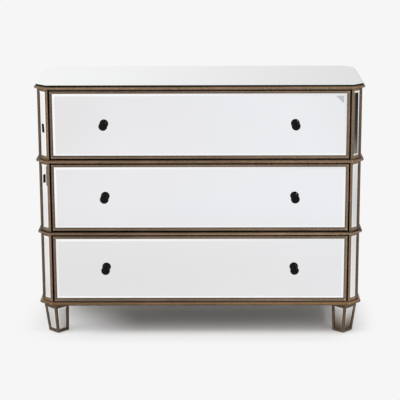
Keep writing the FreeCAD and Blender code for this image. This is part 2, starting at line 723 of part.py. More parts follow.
def make_drawer_box(tier, spots):
    """Box of grooved sides and ends round a floor panel, with its slide members."""
    name = TIERS[tier]
    low = f"({front_foot(tier)} + box_lift)"
    floor_low = f"({low} + floor_lift)"
    outer = "(body_width / 2 - post_size - slide_thick)"
    inner = f"({outer} - box_thick)"
    front = "(-body_depth / 2 + frame_thick + board_thick)"
    back = f"({front} + box_depth)"

    side = new_body(f"{name}_box_side")
    floor_high, top = f"{floor_low} + floor_thick", f"{low} + box_rise"
    groove = f"{inner} + groove_deep"
    section = [(outer, low), (outer, top), (inner, top), (inner, floor_high), (groove, floor_high),
               (groove, floor_low), (inner, floor_low), (inner, low)]
    pad(side, outline(side, "XZ_Plane", f"-{back}", section), "box_depth")
    place(side)
    node(together(f"{name}_drawer_sides", [side, mirrored(side, "box_side_left")]), f"{name}_drawer_sides")

    front_end = new_body(f"{name}_box_front")
    inside = f"{front} + box_thick"
    groove = f"{inside} - groove_deep"
    section = [(front, low), (inside, low), (inside, floor_low), (groove, floor_low), (groove, floor_high),
               (inside, floor_high), (inside, top), (front, top)]
    pad(front_end, outline(front_end, "YZ_Plane", f"-{inner}", section), f"2 * {inner}")
    holes = circles(front_end, "XZ_Plane", f"-({inside})", spots, "screw_hole")
    pocket(front_end, holes, "box_thick", with_normal=True)
    place(front_end)
    back_end = block(f"{name}_box_back", (f"-{inner}", f"{back} - box_thick", floor_high), (inner, back, top))
    node(together(f"{name}_drawer_ends", [front_end, back_end]), f"{name}_drawer_ends")

    panel = block(f"{name}_drawer_floor", (f"-{inner} - groove_deep", groove, floor_low),
                  (f"{inner} + groove_deep", back, floor_high))
    node(panel, f"{name}_drawer_floor")

    cleat_face = "(body_width / 2 - post_size)"
    inner_member = channel("drawer_channel", tier, outer,
                           "drawer_channel_deep", "drawer_channel_rise", False)
    members = [inner_member, mirrored(inner_member, "drawer_channel_left")]
    node(together(f"{name}_slide_drawer_members", members), f"{name}_slide_drawer_members")
    middle_member = channel("middle_channel", tier, f"({cleat_face} - mid_channel_start)",
                            "mid_channel_deep", "mid_channel_rise", True)
    members = [middle_member, mirrored(middle_member, "middle_channel_left")]
    node(together(f"{name}_slide_middle_members", members), f"{name}_slide_middle_members")


def write_parts():
    doc.recompute()
    for item in doc.Objects:
        if "Invalid" in item.State or "Error" in item.State:
            raise RuntimeError(f"{item.Name} ({item.Label}) is {item.State}")
    for item in nodes:
        if item.Shape.isNull() or not item.Shape.isValid():
            raise RuntimeError(f"{item.Label} has no valid shape")
    os.makedirs("parts", exist_ok=True)
    for item in nodes:
        item.Shape.exportStep(f"parts/{item.Label}.step")


make_plates()
make_side_panels()
make_back_and_dividers()
make_posts()
make_side_mirrors()
make_mouldings()
make_top_glass()
make_legs()
make_case_slides()
for tier in range(len(TIERS)):
    make_drawer(tier)
write_parts()
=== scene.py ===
"""Looks of the mirrored three-drawer chest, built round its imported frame.

Metres, +Z up, and the drawers face -Y.
"""

import json
import math

import bmesh
import bpy
from mathutils import Matrix, Vector

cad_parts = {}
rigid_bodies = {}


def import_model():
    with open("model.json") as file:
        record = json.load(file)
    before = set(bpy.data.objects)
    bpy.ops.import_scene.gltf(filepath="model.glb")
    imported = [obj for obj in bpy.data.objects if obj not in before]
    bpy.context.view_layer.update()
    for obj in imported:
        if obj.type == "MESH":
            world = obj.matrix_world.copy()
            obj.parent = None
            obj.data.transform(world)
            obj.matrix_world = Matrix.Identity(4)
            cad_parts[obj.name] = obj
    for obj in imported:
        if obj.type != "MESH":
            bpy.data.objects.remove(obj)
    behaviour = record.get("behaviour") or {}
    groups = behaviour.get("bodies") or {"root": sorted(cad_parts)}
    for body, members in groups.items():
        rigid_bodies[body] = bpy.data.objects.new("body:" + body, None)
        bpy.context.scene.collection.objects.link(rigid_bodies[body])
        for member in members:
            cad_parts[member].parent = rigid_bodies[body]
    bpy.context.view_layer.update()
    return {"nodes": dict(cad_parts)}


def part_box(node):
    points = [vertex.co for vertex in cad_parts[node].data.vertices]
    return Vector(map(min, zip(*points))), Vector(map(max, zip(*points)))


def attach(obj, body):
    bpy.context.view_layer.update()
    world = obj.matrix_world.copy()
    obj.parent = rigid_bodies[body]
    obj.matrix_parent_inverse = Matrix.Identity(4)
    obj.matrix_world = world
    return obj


for leftover in list(bpy.data.objects):
    bpy.data.objects.remove(leftover)
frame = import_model()
NODES = frame["nodes"]
TIERS = ("lower", "middle", "upper")


def colour(red, green, blue):
    """A colour written as 0 to 255 screen values, turned into the shader's linear ones."""
    def linear(value):
        value = value / 255
        return value / 12.92 if value <= 0.04045 else ((value + 0.055) / 1.055) ** 2.4
    return linear(red), linear(green), linear(blue), 1.0


def grey(value):
    return value, value, value, 1.0


BLACK = grey(0.0)
WHITE = grey(1.0)


# ---------------------------------------------------------------- places, read from the frame
FRONT_LOW, FRONT_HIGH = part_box("lower_drawer_frame")
TIER_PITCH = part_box("middle_drawer_frame")[0].z - FRONT_LOW.z
FRONT_HALF_WIDTH = FRONT_HIGH.x
FRONT_RISE = FRONT_HIGH.z - FRONT_LOW.z
POST_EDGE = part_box("front_right_post")[0].x
BASE_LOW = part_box("base_moulding")[0].z
SLIDE_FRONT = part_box("slide_case_members")[0].y

# ---------------------------------------------------------------- camera, as the photograph's
CAMERA_PLACE = Vector((0.048453, -5.134167, 1.674396))
CAMERA_TURN = math.radians(0.554)
CAMERA_DIP = math.radians(13.5868)
CAMERA_ROLL = math.radians(-0.2216)
LENS = 134.518
SENSOR = 36.0
VIEW_DISTANCE = 100.0

# ---------------------------------------------------------------- bronze paint
EDGE_SOFTNESS = 0.0008
# noise scales, per metre
BRUSH_FINE = 160.0
BRUSH_LONG = 2.2
MOTTLE = 170.0
CLOUD = 9.0
SPECK = 620.0
# how near other faces have to come to make a corner that is worn and carries a painted highlight, and one
# that gets painted shade
WORN_GLINT_REACH = 0.004
HOLLOW_REACH = 0.014
BRONZE_TONES = (
    (0.34, colour(100, 79, 62)), (0.47, colour(128, 106, 85)),
    (0.56, colour(141, 119, 96)), (0.68, colour(168, 146, 121)))
ROSY = colour(152, 122, 106)
OLIVE = colour(122, 108, 82)
PINHOLE = colour(70, 54, 42)
WORN_GLINT = colour(186, 162, 136)
OLIVE_SHARE = 0.35
# the noise at which each of these begins to show, and at which it shows fully
ROSY_SPAN = (0.5, 0.7)
OLIVE_SPAN = (0.48, 0.3)
PINHOLE_SPAN = (0.58, 0.68)
WORN_GLINT_NOISE_SPAN = (0.42, 0.6)
# how open a corner is, 1 being a flat face, where wear and its painted highlight begin and where they are
# full
WORN_GLINT_SPAN = (0.82, 0.5)
# how open a corner is where its painted shade is darkest, and where it has none
FRAME_HOLLOW = (0.05, 0.3)
OTHER_HOLLOW = (0.1, 0.5)
# how far up a face looks where it begins to be a ledge, and where it is one; a ledge gets its own painted
# shade, lighter than the front on the base moulding
LEDGE_SPAN = (0.3, 0.9)
# painted light that grows towards the right, from one place along X to another
LIGHT_TO_RIGHT = (-0.3, 0.42)
LEFT_GAIN = 0.93
RIGHT_GAIN = 1.17
# painted shade beside an edge: where it begins and ends, measured from the edge, and its light at both
FRAME_INNER_BAND = (0.0045, 0.0085, 1.0, 0.6)
FRAME_LEFT_BAND = (0.001, 0.004, 0.12, 1.0)
FRAME_HEAD_BAND = (-0.0003, -0.0018, 0.15, 1.0)
BOARD_EDGE_BAND = (0.003, 0.012, 0.12, 1.0)
POST_INNER_BAND = (0.0006, 0.0028, 0.12, 1.0)
# room above the lowest drawer's frame, which has no painted shade at its head
FRAME_CLEARANCE = 0.01
# where a post's outer border, which gets painted shade, begins and ends, out from the middle of the chest
POST_BORDER = (0.533, 0.541)
# the lowest millimetres of the base moulding, up from its underside, which get painted shade
BASE_FOOT = (0.001, 0.0045)

# ---------------------------------------------------------------- glass, wood and metal
SILVER_TONES = ((0.3, colour(238, 239, 241)), (0.7, colour(241, 241, 242)))
# painted highlight on the mirrors' bevels
BEVEL_HIGHLIGHT = colour(252, 253, 253)
GROUND_RIM = colour(30, 32, 22)
RIM_ROUGHNESS = 0.25
# how far up or down a face looks where it is rim, and where it is flat glass
RIM_SPAN = (0.2, 0.5)
# painted reflection of the dim floor in the legs' panes: on the right legs by their height in tenths of a
# metre, and one tone on the left legs
LEG_FADE = 10.0
LEG_REFLECTION_TONES = (
    (0.22, (0.22, 0.16, 0.12, 1.0)), (0.45, (0.46, 0.40, 0.34, 1.0)),
    (0.7, (0.71, 0.68, 0.64, 1.0)), (0.95, (0.80, 0.79, 0.78, 1.0)))
LEFT_LEG_REFLECTION = (0.80, 0.79, 0.75, 1.0)
KNOB_TONES = ((0.35, grey(0.0015)), (0.7, grey(0.004)))
STAINED_BOARD = (colour(96, 82, 70), colour(74, 62, 52))
CLEAR_BOARD = (colour(208, 182, 146), colour(178, 148, 110))
SPANGLE_SHADE = (0.82, 0.82, 0.84, 1.0)
# where the painted shade on a slide's front end gives way, measured back from it
SLIDE_BAND = (0.001, 0.009, 0.03, 1.0)

# ---------------------------------------------------------------- light and paper
BACKGROUND = 0.922
# the sky as mirrors see it, its share of that on the right, and where it changes over, along X
SKY_SEEN = 0.975
SKY_RIGHT = 0.8
SKY_SPAN = (-0.13, 0.16)
# the sky where it only lights
SKY_LIGHT = 0.55
FLOOR_SIZE = 60.0
# the chest's shadow: its core, and how the plain tone takes over away from it, for the camera
# and in the mirrors
SHADOW_MIDDLE = Vector((-0.015, 0.0, 0.0))
SHADOW_CORE = Vector((0.455, 0.135, 1.0))
SHADOW_FADE = (0.0, 0.2, 0.03, 1.0)
MIRRORED_FADE = (0.12, 0.55)
# painted light that clears the left end of the shadow to the left, but only towards the front
LEFT_END_ASIDE = (-0.2, -0.47, 0.03, 0.5)
LEFT_END_AHEAD = (0.18, -0.12)
# painted shadow under a drawer that stands open, by how open the floor is, and where it stops
DRAWER_REACH = 0.22
DRAWER_SHADE = (0.36, 0.74, 0.55, 1.0)
DRAWER_STOP = (-0.3, -0.22)
# painted light and shade on the paper as the mirrors see it, by the distance ahead and aside in units of
# PAPER_REACH
PAPER_REACH = 5.0
AHEAD_TONES = ((0.2, grey(0.97)), (0.44, grey(1.035)), (0.8, grey(1.02)))
RIGHT_TONES = (
    (0.12, grey(1.0)), (0.25, (0.95, 0.93, 0.91, 1.0)),
    (0.48, (0.79, 0.785, 0.78, 1.0)), (0.85, grey(0.98)))
LEFT_TONES = (
    (0.12, grey(1.0)), (0.21, (0.965, 0.952, 0.938, 1.0)), (0.26, grey(1.05)),
    (0.47, grey(1.04)), (0.58, grey(1.16)), (0.85, grey(1.14)))
# its hue, from left to right, and close to the chest
HUE_SPAN = (-0.9, 0.9)
LEFT_HUE = (0.99, 0.978, 0.985, 1.0)
RIGHT_HUE = (1.02, 1.03, 1.05, 1.0)
CLOSE_SPAN = (-1.9, -1.6)
CLOSE_HUE = (0.997, 0.989, 0.974, 1.0)
# name, light on a level floor, spread, height above the horizon, bearing from +X
LAMPS = (
    ("key", 0.42, math.radians(50), math.radians(36), math.radians(210)),
    ("fill", 0.035, math.radians(80), math.radians(66), math.radians(300)),
    ("spark", 0.07, math.radians(5), math.radians(42), math.radians(335)),
)

# ---------------------------------------------------------------- glowing cards that only the mirrors see, as painted reflections
BLACK_CARD = (0.01, 0.01)
GREY_CARD = (0.62, 0.62)
FULL_TONE = (1.0, 1.0)
# name, corners, tone at the foot and at the head, colour
CARDS = (
    ("side_low_card",
     ((3.36, 0.1009, 0.0), (3.68, 0.1022, 0.0), (3.68, 0.1022, 0.15), (3.36, 0.1001, 0.15)),
     (0.235, 0.045), WHITE),
    ("side_high_card",
     ((3.36, 0.1001, 0.15), (3.68, 0.1022, 0.15), (3.68, 0.1022, 0.42), (3.36, 0.0986, 0.42)),
     (0.045, 0.012), WHITE),
    ("side_brown_card",
     ((3.398, -1.087, 0.0), (3.402, -1.073, 0.0), (3.402, -1.073, 0.4), (3.398, -1.087, 0.4)),
     FULL_TONE, colour(118, 104, 90)),
    ("left_card",
     ((-3.4, 0.1442, 0.152), (-3.4, 0.157, 0.1575), (-3.4, 0.1588, 0.205), (-3.4, 0.1465, 0.2)),
     BLACK_CARD, WHITE),
    ("left_low_card",
     ((-2.4, 0.03, 0.1115), (-2.4, 0.0418, 0.1085), (-2.4, 0.0418, 0.148), (-2.4, 0.03, 0.1525)),
     BLACK_CARD, WHITE),
    ("left_brown_card",
     ((-2.4, -0.735, 0.08), (-2.4, -0.726, 0.08), (-2.4, -0.726, 0.185), (-2.4, -0.735, 0.185)),
     FULL_TONE, colour(128, 118, 102)),
    ("front_card",
     ((0.605, -2.0, 0.5338), (0.6421, -2.0, 0.498), (0.6421, -2.0, 0.5338)),
     GREY_CARD, WHITE),
)


# ================================================================ node helpers
class Tree:
    """A small wrapper round a node tree. Most calls add a node and return its output."""

    def __init__(self, owner):
        owner.use_nodes = True
        self.nodes = owner.node_tree.nodes
        self.links = owner.node_tree.links
        self.nodes.clear()

    def add(self, kind, inputs=None, **settings):
        """Add a node and return the node itself."""
        item = self.nodes.new(kind)
        for name, value in settings.items():
            setattr(item, name, value)
        for name, value in (inputs or {}).items():
            self.feed(item.inputs[name], value)
        return item

    def feed(self, socket, value):
        """Link a socket to another one, or set its constant."""
        if isinstance(value, bpy.types.NodeSocket):
            self.links.new(value, socket)
        else:
            socket.default_value = value

    def math(self, operation, first, second=0.0):
        return self.add("ShaderNodeMath", {0: first, 1: second}, operation=operation).outputs[0]

    def weighted(self, first, share, second, other_share):
        """Two values added up, each by its share."""
        first = self.math("MULTIPLY", first, share)
        return self.math("ADD", first, self.math("MULTIPLY", second, other_share))

    def vector(self, operation, first, second=(0.0, 0.0, 0.0)):
        item = self.add("ShaderNodeVectorMath", {0: first, 1: second}, operation=operation)
        return item.outputs["Vector"]

    def split(self, vector):
        """The X, Y and Z of a vector."""
        parts = self.add("ShaderNodeSeparateXYZ", {0: vector}).outputs
        return parts["X"], parts["Y"], parts["Z"]

    def between(self, value, low, high, start=0.0, end=1.0):
        """Smooth step from start to end as value goes from low to high."""
        item = self.add("ShaderNodeMapRange", interpolation_type="SMOOTHSTEP")
        for socket, given in zip(("Value", "From Min", "From Max", "To Min", "To Max"),
                                 (value, low, high, start, end)):
            self.feed(item.inputs[socket], given)
        return item.outputs["Result"]

    def blend(self, factor, first, second, kind="MIX"):
        item = self.add("ShaderNodeMix", data_type="RGBA", blend_type=kind)
        self.feed(item.inputs["Factor"], factor)
        self.feed(item.inputs["A"], first)
        self.feed(item.inputs["B"], second)
        return item.outputs["Result"]

    def tinted(self, first, second):
        """One colour times another."""
        return self.blend(1.0, first, second, "MULTIPLY")

    def place(self):
        """Place on the piece, in the chest's frame, which stays with the piece as it moves."""
        return self.add("ShaderNodeTexCoord").outputs["Object"]

    def facing(self):
        """The way that the surface faces, in the same frame."""
        return self.add("ShaderNodeTexCoord").outputs["Normal"]

    def stretched(self, vector, scale):
        return self.add("ShaderNodeMapping", {"Vector": vector, "Scale": scale}).outputs["Vector"]

    def noise(self, vector, scale, detail=2.0, rough=0.5, distort=0.0):
        item = self.add("ShaderNodeTexNoise", {
            "Vector": vector, "Scale": scale, "Detail": detail, "Roughness": rough, "Distortion": distort})
        return item.outputs["Fac"]

    def openness(self, reach, samples=16, inside=False):
        """1 in the open, and less where other surfaces come within reach."""
        item = self.add("ShaderNodeAmbientOcclusion", {"Distance": reach}, samples=samples, inside=inside)
        return item.outputs["AO"]

    def ramp(self, factor, stops):
        item = self.add("ShaderNodeValToRGB", {"Fac": factor})
        points = item.color_ramp.elements
        while len(points) < len(stops):
            points.new(0.5)
        for point, (position, tone) in zip(points, stops):
            point.position = position
            point.color = tone
        return item.outputs["Color"]

    def bump(self, height, depth, strength):
        item = self.add("ShaderNodeBump", {"Height": height, "Distance": depth, "Strength": strength})
        return item.outputs["Normal"]

    def finish(self, shader):
        out = self.add("ShaderNodeOutputMaterial")
        self.links.new(shader.outputs[0], out.inputs["Surface"])


# ================================================================ bronze paint
def beside(edge, band):
    """A band of shade that is measured from an edge, moved to where the edge is."""
    low, high, start, end = band
    return edge + low, edge + high, start, end


def height_on_front(tree, z):
    """How far a place is above the foot of its drawer's frame."""
    return tree.math("MODULO", tree.math("SUBTRACT", z, FRONT_LOW.z), TIER_PITCH)


def frame_edges(tree, place):
    """How far a place on a drawer's frame is from the frame's sides, and from its foot or head."""
    x, _, z = tree.split(place)
    from_side = tree.math("SUBTRACT", FRONT_HALF_WIDTH, tree.math("ABSOLUTE", x))
    from_middle = tree.math("ABSOLUTE", tree.math("SUBTRACT", height_on_front(tree, z), FRONT_RISE / 2))
    return from_side, tree.math("SUBTRACT", FRONT_RISE / 2, from_middle)


def from_outer_edge(tree, place):
    from_side, from_end = frame_edges(tree, place)
    return tree.math("MINIMUM", from_side, from_end)


def brushed(tree, place, streaks):
    """Fine streaks along a piece. On a drawer's frame they turn on its mitres."""
    def brush(scale):
        return tree.noise(tree.stretched(place, scale), 1.0, detail=3.0, rough=0.6)

    across = (BRUSH_LONG, BRUSH_LONG, BRUSH_FINE)
    upright = (BRUSH_FINE, BRUSH_FINE, BRUSH_LONG)
    if streaks in ("across", "edges"):
        return brush(across)
    if streaks == "upright":
        return brush(upright)
    from_side, from_end = frame_edges(tree, place)
    return tree.blend(tree.math("LESS_THAN", from_side, from_end), brush(across), brush(upright))


def bronze_colour(tree, place, tone, mottle):
    """Brown with rosy and olive clouds, pinholes, and corners worn down to paler metal, which also stand as
    a painted highlight.
    """
    cloud = tree.noise(place, CLOUD, detail=3.0, rough=0.55)
    base = tree.ramp(tone, BRONZE_TONES)
    rosy = tree.blend(tree.between(cloud, *ROSY_SPAN), base, ROSY)
    olive = tree.blend(tree.between(cloud, *OLIVE_SPAN), base, OLIVE)
    aged = tree.blend(OLIVE_SHARE, rosy, olive)
    speck = tree.noise(place, SPECK, detail=3.0, rough=0.7)
    aged = tree.blend(tree.between(speck, *PINHOLE_SPAN, end=0.55), aged, PINHOLE)
    # worn paler corners, which also serve as a painted highlight on the edges
    corner = tree.between(tree.openness(WORN_GLINT_REACH, inside=True), *WORN_GLINT_SPAN)
    worn_glint = tree.math("MULTIPLY", corner, tree.between(mottle, *WORN_GLINT_NOISE_SPAN, start=0.25, end=0.75))
    return tree.blend(worn_glint, aged, WORN_GLINT)


def frame_shades(tree, place, x, z):
    """Painted shade by the glass, on the frame's left edge, and at its head except on the lowest frame."""
    inner = tree.between(from_outer_edge(tree, place), *FRAME_INNER_BAND)
    left = tree.between(x, *beside(-FRONT_HALF_WIDTH, FRAME_LEFT_BAND))
    head = tree.between(height_on_front(tree, z), *beside(FRONT_RISE, FRAME_HEAD_BAND))
    lowest = tree.math("LESS_THAN", z, FRONT_HIGH.z + FRAME_CLEARANCE)
    return [inner, left, tree.math("MAXIMUM", head, lowest)]


def post_shades(tree, x, outer):
    """Painted shade on a post's outer border, and on the right posts where they meet the drawers."""
    border = tree.between(tree.math("ABSOLUTE", x), *POST_BORDER, start=1.0, end=outer)
    inner = tree.between(x, *beside(POST_EDGE, POST_INNER_BAND))
    return [border, tree.math("MAXIMUM", inner, tree.math("LESS_THAN", x, 0.0))]


def bronze_paint(name, streaks, strength=1.0, outer=1.0, tint=WHITE, ledge=0.42, foot=1.0):
    """Antique bronze over wood: brushed along its length, mottled, worn paler on its edges with a painted
    highlight there, and with painted shade in its corners.

    streaks is "across", "upright", "frame" for a drawer's frame, or "edges" for the board behind it.
    strength, outer, ledge and foot are painted light and shade: strength on the whole piece, outer on a
    post's border, ledge on what faces up and foot on the lowest millimetres of the base moulding.
    """
    material = bpy.data.materials.new(name)
    tree = Tree(material)
    place = tree.place()
    x, _, z = tree.split(place)
    along = brushed(tree, place, streaks)
    mottle = tree.noise(place, MOTTLE, detail=4.0, rough=0.6, distort=0.6)
    tone = tree.weighted(along, 0.55, mottle, 0.45)

    # painted shade in corners, hollows and the gaps between parts
    hollow = FRAME_HOLLOW if streaks == "frame" else OTHER_HOLLOW
    shade = tree.between(tree.openness(HOLLOW_REACH), *hollow, start=0.02, end=1.0)
    parts = [strength]
    if streaks == "frame":
        parts += frame_shades(tree, place, x, z)
    # painted shade on the edges of the board behind a frame, which show in the gaps
    if streaks == "edges":
        parts.append(tree.between(from_outer_edge(tree, place), *BOARD_EDGE_BAND))
    # painted shade on ledges, lighter than the front on the base, and painted shade on the base moulding's
    # foot
    if streaks in ("across", "frame"):
        _, _, upward = tree.split(tree.facing())
        parts.append(tree.between(upward, *LEDGE_SPAN, start=1.0, end=ledge))
        parts.append(tree.between(z, *beside(BASE_LOW, (*BASE_FOOT, foot, 1.0))))
    if outer < 1.0:
        parts += post_shades(tree, x, outer)
    for part in parts:
        shade = tree.math("MULTIPLY", shade, part)

    # painted light, growing towards the right
    left_tint = tuple(part * LEFT_GAIN for part in tint)
    right_tint = tuple(part * RIGHT_GAIN for part in tint)
    gain = tree.blend(tree.between(x, *LIGHT_TO_RIGHT), left_tint, right_tint)
    lit = tree.blend(shade, BLACK, gain)
    relief = tree.weighted(along, 0.6, mottle, 0.4)
    tree.finish(tree.add("ShaderNodeBsdfPrincipled", {
        "Base Color": tree.tinted(bronze_colour(tree, place, tone, mottle), lit),
        "Roughness": tree.between(tone, 0.35, 0.66, start=0.5, end=0.34), "Metallic": 0.6,
        "Specular IOR Level": 0.3,
        "Normal": tree.bump(relief, depth=0.0004, strength=0.5)}))
    return material


# ================================================================ other materials
def leg_reflection(tree, place):
    """Painted reflection of the dim floor at the legs' foot in their panes: darker low down on the right
    legs.
    """
    x, _, z = tree.split(place)
    low_high = tree.ramp(tree.math("MULTIPLY", z, LEG_FADE), LEG_REFLECTION_TONES)
    return tree.blend(tree.math("GREATER_THAN", x, 0.0), LEFT_LEG_REFLECTION, low_high)


def mirror_glass(name, rim=False, flat=1.0, legs=False):
    """Silvered glass, a little cloudy. Its bevels carry a painted highlight, and a ground rim is dark
    green.

    A face is flat, and not a bevel, when it looks at least this squarely along X, Y or a diagonal.
    """
    material = bpy.data.materials.new(name)
    tree = Tree(material)
    place = tree.place()
    silver = tree.ramp(tree.noise(place, scale=3.0, detail=2.0, rough=0.5), SILVER_TONES)
    x, y, z = tree.split(tree.facing())
    shader = tree.add("ShaderNodeBsdfPrincipled", {"Roughness": 0.0, "Metallic": 1.0})
    if rim:
        edge = tree.between(tree.math("ABSOLUTE", z), *RIM_SPAN, start=1.0, end=0.0)
        silver = tree.blend(edge, silver, GROUND_RIM)
        tree.feed(shader.inputs["Roughness"], tree.between(edge, 0.0, 1.0, end=RIM_ROUGHNESS))
    else:
        # 1 where a face looks exactly along X, Y or a diagonal
        wide = tree.math("ABSOLUTE", x)
        deep = tree.math("ABSOLUTE", y)
        diagonal = tree.math("MULTIPLY", tree.math("ADD", wide, deep), math.sqrt(0.5))
        square = tree.math("MAXIMUM", diagonal, tree.math("MAXIMUM", wide, deep))
        # bevels get a painted highlight
        silver = tree.blend(tree.math("LESS_THAN", square, flat), silver, BEVEL_HIGHLIGHT)
    # the legs' panes carry a painted reflection of the dim floor
    if legs:
        silver = tree.tinted(silver, leg_reflection(tree, place))
    tree.feed(shader.inputs["Base Color"], silver)
    tree.finish(shader)
    return material


def knob_black():
    material = bpy.data.materials.new("knob_black")
    tree = Tree(material)
    place = tree.place()
    speck = tree.noise(place, scale=900.0, detail=3.0, rough=0.6)
    smear = tree.noise(place, scale=160.0, detail=3.0, rough=0.6)
    tree.finish(tree.add("ShaderNodeBsdfPrincipled", {
        "Base Color": tree.ramp(speck, KNOB_TONES),
        "Roughness": tree.between(smear, 0.3, 0.7, start=0.22, end=0.32), "Specular IOR Level": 0.03,
        "Coat Weight": 0.14, "Coat Roughness": 0.1,
        "Normal": tree.bump(speck, depth=0.00005, strength=0.3)}))
    return material


def board(name, pale, dark, lengthwise):
    """Plain panel wood with its grain along X, Y or Z: broad figure, fine streaks and pores."""
    material = bpy.data.materials.new(name)
    tree = Tree(material)
    place = tree.place()

    def grain(across, along, detail, distort):
        scale = [along if axis == lengthwise else across for axis in "XYZ"]
        return tree.noise(tree.stretched(place, scale), 1.0, detail=detail, rough=0.6, distort=distort)

    figure = grain(across=16.0, along=1.1, detail=4.0, distort=1.2)
    streaks = grain(across=150.0, along=3.0, detail=3.0, distort=0.2)
    pores = grain(across=900.0, along=30.0, detail=2.0, distort=0.0)
    tone = tree.math("ADD", tree.weighted(figure, 0.45, streaks, 0.4), tree.math("MULTIPLY", pores, 0.15))
    tree.finish(tree.add("ShaderNodeBsdfPrincipled", {
        "Base Color": tree.ramp(tone, [(0.38, dark), (0.6, pale)]),
        "Roughness": tree.between(tone, 0.35, 0.65, start=0.68, end=0.5),
        "Normal": tree.bump(tone, depth=0.0003, strength=0.4)}))
    return material


def steel(name, tone, rough_low, rough_high, metallic=1.0, dark_front=False):
    """Plated steel with a faint spangle. A slide's front end lies in the dark behind the fronts and gets
    painted shade.
    """
    material = bpy.data.materials.new(name)
    tree = Tree(material)
    place = tree.place()
    spangle = tree.noise(place, scale=130.0, detail=4.0, rough=0.55)
    darker = tuple(part * share for part, share in zip(tone, SPANGLE_SHADE))
    base = tree.ramp(spangle, [(0.35, darker), (0.65, tone)])
    if dark_front:
        _, y, _ = tree.split(place)
        lit = tree.between(y, *beside(SLIDE_FRONT, SLIDE_BAND))
        base = tree.tinted(base, tree.blend(lit, BLACK, WHITE))
    tree.finish(tree.add("ShaderNodeBsdfPrincipled", {
        "Base Color": base, "Metallic": metallic,
        "Roughness": tree.between(spangle, 0.35, 0.65, rough_low, rough_high)}))
    return material


# each paint's strength, outer, ledge and foot are painted light and shade, and its tint is its colour
PAINTS = {
    "bronze_across": dict(streaks="across", strength=0.99, tint=(1.0, 0.92, 0.8, 1.0)),
    "bronze_base": dict(streaks="across", strength=0.6, tint=(1.13, 0.99, 0.76, 1.0), ledge=1.67, foot=0.5),
    "bronze_belt": dict(streaks="across", tint=(1.03, 1.0, 0.95, 1.0)),
    "bronze_low_belt": dict(streaks="across", tint=(1.0, 0.97, 0.92, 1.0), ledge=0.12),
    "bronze_crown": dict(streaks="across", strength=1.4, tint=(1.05, 1.0, 0.93, 1.0)),
    "bronze_frame": dict(streaks="frame", strength=0.97, tint=(0.95, 1.0, 1.06, 1.0)),
    "bronze_edges": dict(streaks="edges", strength=0.4),
    "bronze_post": dict(streaks="upright", strength=0.95, outer=0.5),
    "bronze_leg": dict(streaks="upright", strength=0.45),
}
MATERIALS = {name: bronze_paint(name, **look) for name, look in PAINTS.items()}
MATERIALS.update({
    "mirror_glass": mirror_glass("mirror_glass", flat=0.997),
    "leg_mirror_glass": mirror_glass("leg_mirror_glass", flat=0.985, legs=True),
    "top_mirror_glass": mirror_glass("top_mirror_glass", rim=True),
    "knob_black": knob_black(),
    "carcass_board": board("carcass_board", *STAINED_BOARD, "X"),
    "drawer_board": board("drawer_board", *CLEAR_BOARD, "X"),
    "drawer_side_board": board("drawer_side_board", *CLEAR_BOARD, "Y"),
    "zinc_steel": steel("zinc_steel", colour(186, 190, 194), 0.28, 0.42, dark_front=True),
    "screw_steel": steel("screw_steel", colour(150, 148, 140), 0.3, 0.45),
    "glide_nylon": steel("glide_nylon", colour(40, 38, 36), 0.45, 0.6, metallic=0.0),
})
# nodes that take another finish than their slot's, by how their names end
FINISHES = (
    ("_drawer_frame", "bronze_frame"), ("_drawer_front", "bronze_edges"),
    ("_post", "bronze_post"), ("_leg", "bronze_leg"),
    ("top_moulding", "bronze_crown"), ("base_moulding", "bronze_base"),
    ("lower_belt_moulding", "bronze_low_belt"), ("upper_belt_moulding", "bronze_belt"),
    ("_drawer_sides", "drawer_side_board"), ("leg_mirrors", "leg_mirror_glass"),
)


def finish_of(node, slot):
    for ending, finish in FINISHES:
        if node.endswith(ending):
            return finish
    return "bronze_across" if slot == "bronze_paint" else slot


def soften(obj, width):
    """Round the sharp edges a little, as paint and sandpaper do."""
    weld = obj.modifiers.new("weld", "WELD")
    weld.merge_threshold = 0.00001
    bevel = obj.modifiers.new("soft_edges", "BEVEL")
    bevel.width = width
    bevel.segments = 2
    bevel.limit_method = "ANGLE"
    bevel.angle_limit = math.radians(20)
    normals = obj.modifiers.new("normals", "WEIGHTED_NORMAL")
    normals.keep_sharp = False


def dress_nodes():
    """Give every CAD node its material and soften the edges of painted wood."""
    for node, obj in NODES.items():
        slot = obj.material_slots[0].material.name.split(".")[0]
        obj.material_slots[0].material = MATERIALS[finish_of(node, slot)]
        if slot == "bronze_paint":
            soften(obj, EDGE_SOFTNESS)


# ================================================================ small screws that only the scene has
HEAD_RADIUS = 0.0035
HEAD_RISE = 0.0019
# rings from the middle outwards, as shares of the radius, and then the flat foot
HEAD_RINGS = (0.12, 0.3, 0.45, 0.56, 0.78, 0.94, 1.0, 1.0)
HEAD_SEGMENTS = 32
# shares of a head's radius and rise: how far its dome falls, and the cross's size and depth
DOME_FALL = 0.6
CROSS_WIDTH = 0.45
CROSS_REACH = 0.5
CROSS_MIDDLE = 0.2
CROSS_DEPTH = 0.6
# along X, and back from the front end of a slide's drawer member
BACK_SCREW_PLACES = (-0.42, 0.0, 0.42)
SLIDE_SCREW_PLACES = (0.03, 0.16, 0.3)
SLIDE_WALL = 0.0012


def head_height(reach, angle):
    """Height of a pan head at a share of its radius: domed, with a cross sunk into its middle."""
    in_cross = abs(math.sin(2 * angle)) < CROSS_WIDTH and reach < CROSS_REACH
    sunk = HEAD_RISE * CROSS_DEPTH if in_cross or reach < CROSS_MIDDLE else 0.0
    return HEAD_RISE * (1 - DOME_FALL * reach ** 3) - sunk


